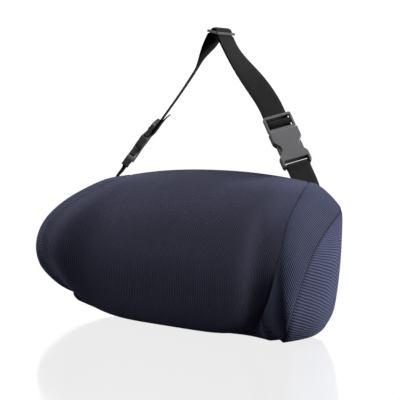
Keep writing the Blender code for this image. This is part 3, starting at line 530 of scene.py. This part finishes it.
def band(name, centres, across, finish, body):
    """A woven band: a flat section carried along a line, its long side along the across directions.
    Each face has 11 points across, and its height falls off by the twelfth power near the edges."""
    across, normal = squared(centres, across)
    share = np.linspace(-1.0, 1.0, 11)
    width = share * WEB_WIDTH / 2
    height = ((1 - np.abs(share) ** 12) * 0.5 + 0.12) * WEB_THICK * 0.8
    section = np.vstack((np.column_stack((width, height)), np.column_stack((width[::-1], -height[::-1]))))
    rings = centres[:, None] + across[:, None] * section[None, :, :1]
    rings = rings + normal[:, None] * section[None, :, 1:]
    count, ring = rings.shape[:2]
    index = np.arange(count * ring).reshape(count, ring)
    onward = np.roll(index, -1, axis=1)
    sides = np.stack((index[:-1], onward[:-1], onward[1:], index[1:]), axis=-1).reshape(-1, 4)
    faces = sides.tolist() + [index[0, ::-1].tolist(), index[-1].tolist()]
    mesh = bpy.data.meshes.new(name)
    mesh.from_pydata(rings.reshape(-1, 3).tolist(), [], faces)
    layer = mesh.uv_layers.new(name="cloth")
    corner = np.zeros(len(mesh.loops), np.int32)
    mesh.loops.foreach_get("vertex_index", corner)
    onto = np.tile(run_length(centres)[:, None], (1, ring))
    flat = np.stack((np.tile(section[:, 0], (count, 1)), onto), axis=2)
    layer.data.foreach_set("uv", flat.reshape(-1, 2)[corner].astype(np.float32).ravel())
    closed(mesh, 0.000005)
    item = put(name, mesh, (finish,), body)
    item.data.set_sharp_from_angle(angle=math.radians(50))
    return item


def woven(name, dark, light, pitch):
    """Polypropylene webbing: ribs of weft across the band a pitch apart, each broken into warp
    floats, with fine fibre between them, and hardly any shine."""
    finish, tree, shader = new_finish(name, dark, 0.8)
    flat = add_node(tree, "ShaderNodeUVMap", {"uv_map": "cloth"})
    axes = add_node(tree, "ShaderNodeSeparateXYZ", {}, {"Vector": flat.outputs["UV"]})
    place = add_node(tree, "ShaderNodeTexCoord")
    fibre = add_node(tree, "ShaderNodeTexNoise", {"Scale": 900.0, "Detail": 3.0},
                     {"Vector": place.outputs["Object"]})
    # Rib and warp are sines along and across the band; height = 0.3 rib x warp + fibre.
    rib_turns = add_node(tree, "ShaderNodeMath", {"operation": "MULTIPLY", 1: 2 * math.pi / pitch},
                         {0: axes.outputs["Y"]})
    rib = add_node(tree, "ShaderNodeMath", {"operation": "SINE"}, {0: rib_turns.outputs["Value"]})
    warp_turns = add_node(tree, "ShaderNodeMath", {"operation": "MULTIPLY", 1: 2 * math.pi / (pitch * 0.9)},
                          {0: axes.outputs["X"]})
    warp = add_node(tree, "ShaderNodeMath", {"operation": "SINE"}, {0: warp_turns.outputs["Value"]})
    cells = add_node(tree, "ShaderNodeMath", {"operation": "MULTIPLY"},
                     {0: rib.outputs["Value"], 1: warp.outputs["Value"]})
    height = add_node(tree, "ShaderNodeMath", {"operation": "MULTIPLY_ADD", 1: 0.3},
                      {0: cells.outputs["Value"], 2: fibre.outputs["Fac"]})
    tone = add_node(tree, "ShaderNodeMix", {"data_type": "RGBA", 6: linear(dark), 7: linear(light)},
                    {0: height.outputs["Value"]})
    tree.links.new(tone.outputs[2], shader.inputs["Base Color"])
    bump = add_node(tree, "ShaderNodeBump", {"Strength": 0.6, "Distance": 0.0003},
                    {"Height": height.outputs["Value"]})
    tree.links.new(bump.outputs["Normal"], shader.inputs["Normal"])
    shader.inputs["Sheen Weight"].default_value = 0.02
    shader.inputs["Specular IOR Level"].default_value = 0.10
    return finish


# Black polypropylene webbing with a 1.6 mm rib, and the bonded nylon thread that it is sewn with.
webbing = woven("black_polypropylene_webbing", "#050505", "#1c1c1c", 0.0016)
thread, tree, shader = new_finish("black_bonded_nylon_thread", "#1a1a1c", 0.45)
place = add_node(tree, "ShaderNodeTexCoord")
twist = add_node(tree, "ShaderNodeTexNoise", {"Scale": 1800.0}, {"Vector": place.outputs["Object"]})
skin = add_node(tree, "ShaderNodeBump", {"Strength": 0.4, "Distance": 0.0001},
                {"Height": twist.outputs["Fac"]})
tree.links.new(skin.outputs["Normal"], shader.inputs["Normal"])


def box_stitch(side, middle, lean, flat):
    """The square and cross sewn through the patch: stitches 2.4 mm long, one every 3.2 mm."""
    stitch, pitch = 0.0024, 0.0032
    reach, stand = 0.0100, BACK + AIR + WEB_THICK + 0.0001
    centre = np.array([middle[0], stand, middle[2]])
    corners = [centre + reach * (flat * a + lean * b) for a, b in ((-1, -1), (1, -1), (1, 1), (-1, 1))]
    runs = list(zip(corners, corners[1:] + corners[:1]))
    runs += [(corners[0], corners[2]), (corners[1], corners[3])]
    points, faces = [], []
    sides = [(0, 1, 2, 3), (7, 6, 5, 4), (0, 4, 5, 1), (1, 5, 6, 2), (2, 6, 7, 3), (3, 7, 4, 0)]
    for begin, end in runs:
        forward = unit(end - begin)
        beside = unit(np.cross(forward, (0.0, 1.0, 0.0))) * 0.00025
        up = np.array([0.0, 0.0002, 0.0])
        for travel in np.arange(0.0006, np.linalg.norm(end - begin) - stitch, pitch):
            start_at, stop_at = begin + forward * travel, begin + forward * (travel + stitch)
            first = len(points)
            for here in (start_at, stop_at):
                points += [here - beside - up, here + beside - up, here + beside + up, here - beside + up]
            faces += [tuple(first + corner for corner in face) for face in sides]
    mesh = bpy.data.meshes.new(side + "_box_stitch")
    mesh.from_pydata(points, [], faces)
    closed(mesh, 0.000001)
    item = put(side + "_box_stitch", mesh, (thread,), "cushion")


def short_end(side):
    """The sewn webbing: it rises off the back, turns edge-on, and doubles round the socket's bar."""
    axes = buckle_axes(side)
    sign = 1 if side == "right" else -1
    anchor_inset, standoff, anchor_height, patch_length = 0.040, 0.003, 0.086, 0.024
    start = np.array([sign * (HALF_WIDTH - anchor_inset), BACK + standoff, anchor_height])
    ply = WEB_THICK / 2 + AIR / 2
    ring = BAR / 2 + AIR + WEB_THICK / 2
    loop = ([(-HEM, ply), (-0.011, ply), (-0.006, ply), (-0.0032, ply + 0.0002)]
            + turn_about(BAR / 2, ring, (120, 90, 60, 30, 0, -30, -60, -90, -120))
            + [(-0.0032, -ply - 0.0002), (-0.006, -ply), (-0.011, -ply), (0.001 - HEM, -ply)])
    turn = set_out(axes, loop)
    lean = unit((turn[0] - start) * (1, 0, 1))
    flat = unit(np.cross(lean, (0.0, -1.0, 0.0)))
    flat = flat if flat.dot(axes[0][0]) > 0 else -flat
    rise = curved_run(start + lean * 0.0048, unit(lean + (0.0, 0.12, 0.0)), turn[0], axes[0][1], 16)
    centres = flowing(np.vstack((rise[:-1], turn)), 120)
    along = run_length(centres)
    reach = np.clip(along / along[nearest(centres[:80], turn[0])], 0.0, 1.0)
    reach = np.clip((reach - 0.3) / 0.7, 0.0, 1.0)
    blend = (reach ** 2 * (3 - 2 * reach))[:, None]
    item = band(side + "_short_webbing", centres, flat * (1 - blend) + axes[0][0] * blend, webbing, "strap")
    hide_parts(side + "_stub_webbing")
    low, high = start - lean * patch_length, start + lean * 0.0042
    middle = BACK + AIR + WEB_THICK / 2
    line = np.linspace((low[0], middle, low[2]), (high[0], middle, high[2]), 6)
    patch = band(side + "_sewn_patch", line, np.tile(flat, (6, 1)), webbing, "cushion")
    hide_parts(side + "_anchor_patch")
    box_stitch(side, (low + high) / 2, lean, flat)


def ladder_turn(side):
    """The turn over the plug's ladder bar, which moves with the plug."""
    axes = buckle_axes(side)
    middle = SOCKET + AIR + 0.0084 + BAR / 2
    ring = BAR / 2 + AIR + WEB_THICK / 2
    back = -LADDER_THICK / 2
    profile = ([(middle - ring, back)] + turn_about(middle, ring, (180, 150, 120, 90, 60, 30, 0))
               + [(middle + ring, back)])
    centres = flowing(set_out(axes, profile), 31)
    item = band(side + "_ladder_turn", centres, np.tile(axes[0][0], (31, 1)), webbing, side + "_plug")
    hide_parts(side + "_wrap_webbing")


def long_run(side, lift, glide_places, lower, straight, hold):
    """Line and across directions from a plug to the slider: straight past the plug, then a free run
    that turns about its own length until it lies square to the slider's bars."""
    axes, glide = buckle_axes(side), glide_axes()
    head = SOCKET + AIR + LADDER
    first = set_out(axes, [(station, lift) for station in np.linspace(lower, head + straight, 6)])
    last = set_out(glide, glide_places)
    middle = curved_run(first[-1], axes[0][1], last[0], unit(last[1] - last[0]), 24)
    centres = flowing(np.vstack((first, middle[1:-1], last)), 120)
    along = run_length(centres)
    begin, end_at = along[nearest(centres, first[-1])], along[nearest(centres, last[0])]
    share = np.clip((along - begin) / (end_at - begin), 0.0, 1.0)
    share = np.clip((share - hold) / (1 - hold), 0.0, 1.0)[:, None]
    blend = share ** 2 * (3 - 2 * share)
    square = glide[0][0] * (1 if side == "right" else -1)
    return centres, axes[0][0] * (1 - blend) + square * blend


for side in ("right", "left"):
    short_end(side)
    ladder_turn(side)

behind_plug = -LADDER_THICK / 2 - AIR - WEB_THICK / 2
lower = SOCKET + 0.0035
pitch = GLIDE_BAR + GLIDE_SLOT
tight = GLIDE_BAR / 2 + AIR + WEB_THICK / 2 + 0.0003
wide = tight + PLY
lip = GLIDE_BAR / 2 + GLIDE_SLOT


def through_slider(sign, approach):
    """Under an outer bar, up through the slot and over the middle bar."""
    run = approach + [(pitch, -tight), (lip + 0.0002, -tight), (lip - 0.0006, -tight + 0.0003),
                      (lip - 0.0010, -0.0012), (wide, 0.0)]
    run += turn_about(0.0, wide, (30, 60)) + [(0.0003, wide)]
    return [(sign * along, outward) for along, outward in run]


approach = [(pitch + 0.0045, -tight - 0.0044), (pitch + 0.0012, -tight - 0.0009)]
centres, across = long_run("right", behind_plug, through_slider(-1, approach), lower, 0.010, 0.25)
outer = band("right_outer_webbing", centres, across, webbing, "strap")
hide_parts("strap_webbing_right_outer")

across, normal = squared(centres, across)
stop = set_out(glide_axes(), [(-pitch - 0.0005, -tight)])[0]
count = nearest(centres, stop)
hem = -tight - 2 * PLY
sewn = ([(-lip + 0.0004, -tight - PLY), (-0.0036, -0.0035), (-0.00275, -0.0017)]
        + turn_about(0.0, tight, (180, 150, 120, 90, 60, 30, 0, -30, -60))
        + [(0.0, -0.0031), (-0.0016, hem + 0.0015), (-0.0036, hem + 0.0003), (-pitch, hem - 0.0004)])
inside = (centres - normal * PLY)[:count:3]
path = flowing(np.vstack((inside, set_out(glide_axes(), sewn))), 150)
turned = np.array([across[nearest(centres[:count], point)] for point in path])
inner = band("right_inner_webbing", path, turned, webbing, "strap")
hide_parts("strap_webbing_right_inner")

approach = [(pitch + 0.0030, -tight - 0.0065), (pitch + 0.0012, -tight - 0.0012)]
centres, across = long_run("left", behind_plug, through_slider(1, approach), lower, 0.026, 0.6)
left_run = band("left_webbing", centres, across, webbing, "strap")
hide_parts("strap_webbing_left")

head = SOCKET + AIR + LADDER
under = behind_plug - PLY
axes = buckle_axes("left")
tail = [(lower, under), ((lower + head) / 2, under), (head, under), (head + 0.008, under - 0.0006),
        (head + 0.013, under - 0.0018)]
centres = flowing(set_out(axes, tail), 24)
loose_end = band("left_loose_end", centres, np.tile(axes[0][0], (24, 1)), webbing, "strap")
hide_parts("left_strap_tail")

# Buckles and slider
# Side-release buckles and a three-bar slider, injection moulded in black acetal. Their skin is a
# satin texture that comes off the spark-eroded mould. The moulded shapes are the frame's own.

plastic, tree, shader = new_finish("black_moulded_acetal", "#48484a", 0.34)
place = add_node(tree, "ShaderNodeTexCoord")
spark = add_node(tree, "ShaderNodeTexNoise", {"Scale": 2600.0, "Detail": 2.0},
                 {"Vector": place.outputs["Object"]})
cloudy = add_node(tree, "ShaderNodeTexNoise", {"Scale": 90.0, "Detail": 3.0},
                  {"Vector": place.outputs["Object"]})
gloss = add_node(tree, "ShaderNodeMapRange", {"To Min": 0.28, "To Max": 0.46},
                 {"Value": cloudy.outputs["Fac"]})
skin = add_node(tree, "ShaderNodeBump", {"Strength": 0.25, "Distance": 0.0001},
                {"Height": spark.outputs["Fac"]})
tree.links.new(gloss.outputs["Result"], shader.inputs["Roughness"])
tree.links.new(skin.outputs["Normal"], shader.inputs["Normal"])
shader.inputs["IOR"].default_value = 1.48
for name, item in nodes.items():
    if "buckle" in name or "release_arm" in name or name == "strap_slider":
        item.data.materials.clear()
        item.data.materials.append(plastic)

# Zip
# A closed-end nylon coil zip sewn into the back of the cover: two tapes of woven twill, the two
# meshed coils, a plated slider with a swinging pull, and a pressed stop at each end.


def extent(name):
    """Lowest and highest corners of a node's mesh."""
    mesh = nodes[name].data
    places = np.zeros(len(mesh.vertices) * 3, np.float32)
    mesh.vertices.foreach_get("co", places)
    places = places.reshape(-1, 3)
    return places.min(axis=0), places.max(axis=0)


def coil(name, body):
    """One side of the zip: a flattened spiral of nylon wire, 1.3 mm a turn, in its strip's box."""
    low, high = extent(name)
    middle, half = (low + high) / 2, (high - low) / 2
    wire, per_turn, sides = 0.00024, 12, 6
    turns = int((high[0] - low[0] - 4 * wire) / 0.0013)
    t = np.linspace(0.0, 2 * math.pi * turns, turns * per_turn + 1)
    line = np.column_stack((np.linspace(low[0] + 2 * wire, high[0] - 2 * wire, len(t)),
                            middle[1] + (half[1] - wire) * np.cos(t),
                            middle[2] + (half[2] - wire) * np.sin(t)))
    along = np.gradient(line, axis=0)
    along /= np.linalg.norm(along, axis=1)[:, None]
    outward = np.column_stack((np.zeros(len(t)), np.cos(t), np.sin(t)))
    outward -= np.sum(outward * along, axis=1)[:, None] * along
    outward /= np.linalg.norm(outward, axis=1)[:, None]
    beside = np.cross(along, outward)
    angle = np.linspace(0.0, 2 * math.pi, sides, endpoint=False)[None, :, None]
    rings = line[:, None] + wire * (outward[:, None] * np.cos(angle) + beside[:, None] * np.sin(angle))
    index = np.arange(len(t) * sides).reshape(len(t), sides)
    onward = np.roll(index, -1, axis=1)
    faces = np.stack((index[:-1], onward[:-1], onward[1:], index[1:]), axis=-1).reshape(-1, 4).tolist()
    faces += [index[0, ::-1].tolist(), index[-1].tolist()]
    mesh = bpy.data.meshes.new(name + "_coil")
    mesh.from_pydata(rings.reshape(-1, 3).tolist(), [], faces)
    closed(mesh, 0.000005)
    item = put(name + "_coil", mesh, (nylon,), body)
    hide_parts(name)


nylon, tree, shader = new_finish("navy_nylon_coil", "#17171f", 0.35)
place = add_node(tree, "ShaderNodeTexCoord")
fine = add_node(tree, "ShaderNodeTexNoise", {"Scale": 1500.0}, {"Vector": place.outputs["Object"]})
skin = add_node(tree, "ShaderNodeBump", {"Strength": 0.2, "Distance": 0.0001},
                {"Height": fine.outputs["Fac"]})
tree.links.new(skin.outputs["Normal"], shader.inputs["Normal"])
coil("zip_teeth_upper", "cushion")
coil("zip_teeth_lower", "cushion")

# Zip tape: navy polyester twill, its diagonals 0.9 mm apart.
twill, tree, shader = new_finish("navy_twill_tape", "#15151f", 0.85)
place = add_node(tree, "ShaderNodeTexCoord")
turned = add_node(tree, "ShaderNodeMapping", {"Rotation": (0.0, math.radians(40), 0.0)},
                  {"Vector": place.outputs["Object"]})
lines = add_node(tree, "ShaderNodeTexWave", {"Scale": 350.0, "Distortion": 0.4},
                 {"Vector": turned.outputs["Vector"]})
tone = add_node(tree, "ShaderNodeMix", {"data_type": "RGBA", 6: linear("#0d0d15"), 7: linear("#262636")},
                {0: lines.outputs["Fac"]})
skin = add_node(tree, "ShaderNodeBump", {"Strength": 0.5, "Distance": 0.0002},
                {"Height": lines.outputs["Fac"]})
tree.links.new(tone.outputs[2], shader.inputs["Base Color"])
tree.links.new(skin.outputs["Normal"], shader.inputs["Normal"])

# Slider, pull and stops: zinc die castings plated in dark nickel, lightly scuffed.
nickel, tree, shader = new_finish("dark_nickel_plate", "#6d6d72", 0.32)
shader.inputs["Metallic"].default_value = 1.0
place = add_node(tree, "ShaderNodeTexCoord")
scuffs = add_node(tree, "ShaderNodeTexNoise", {"Scale": 420.0, "Detail": 4.0},
                  {"Vector": place.outputs["Object"]})
gloss = add_node(tree, "ShaderNodeMapRange", {"To Min": 0.22, "To Max": 0.45},
                 {"Value": scuffs.outputs["Fac"]})
tree.links.new(gloss.outputs["Result"], shader.inputs["Roughness"])

for name, item in nodes.items():
    if name.startswith("zip_tape"):
        item.data.materials.clear()
        item.data.materials.append(twill)
    if name.startswith(("zip_stop", "zip_slider", "zip_pull")):
        item.data.materials.clear()
        item.data.materials.append(nickel)
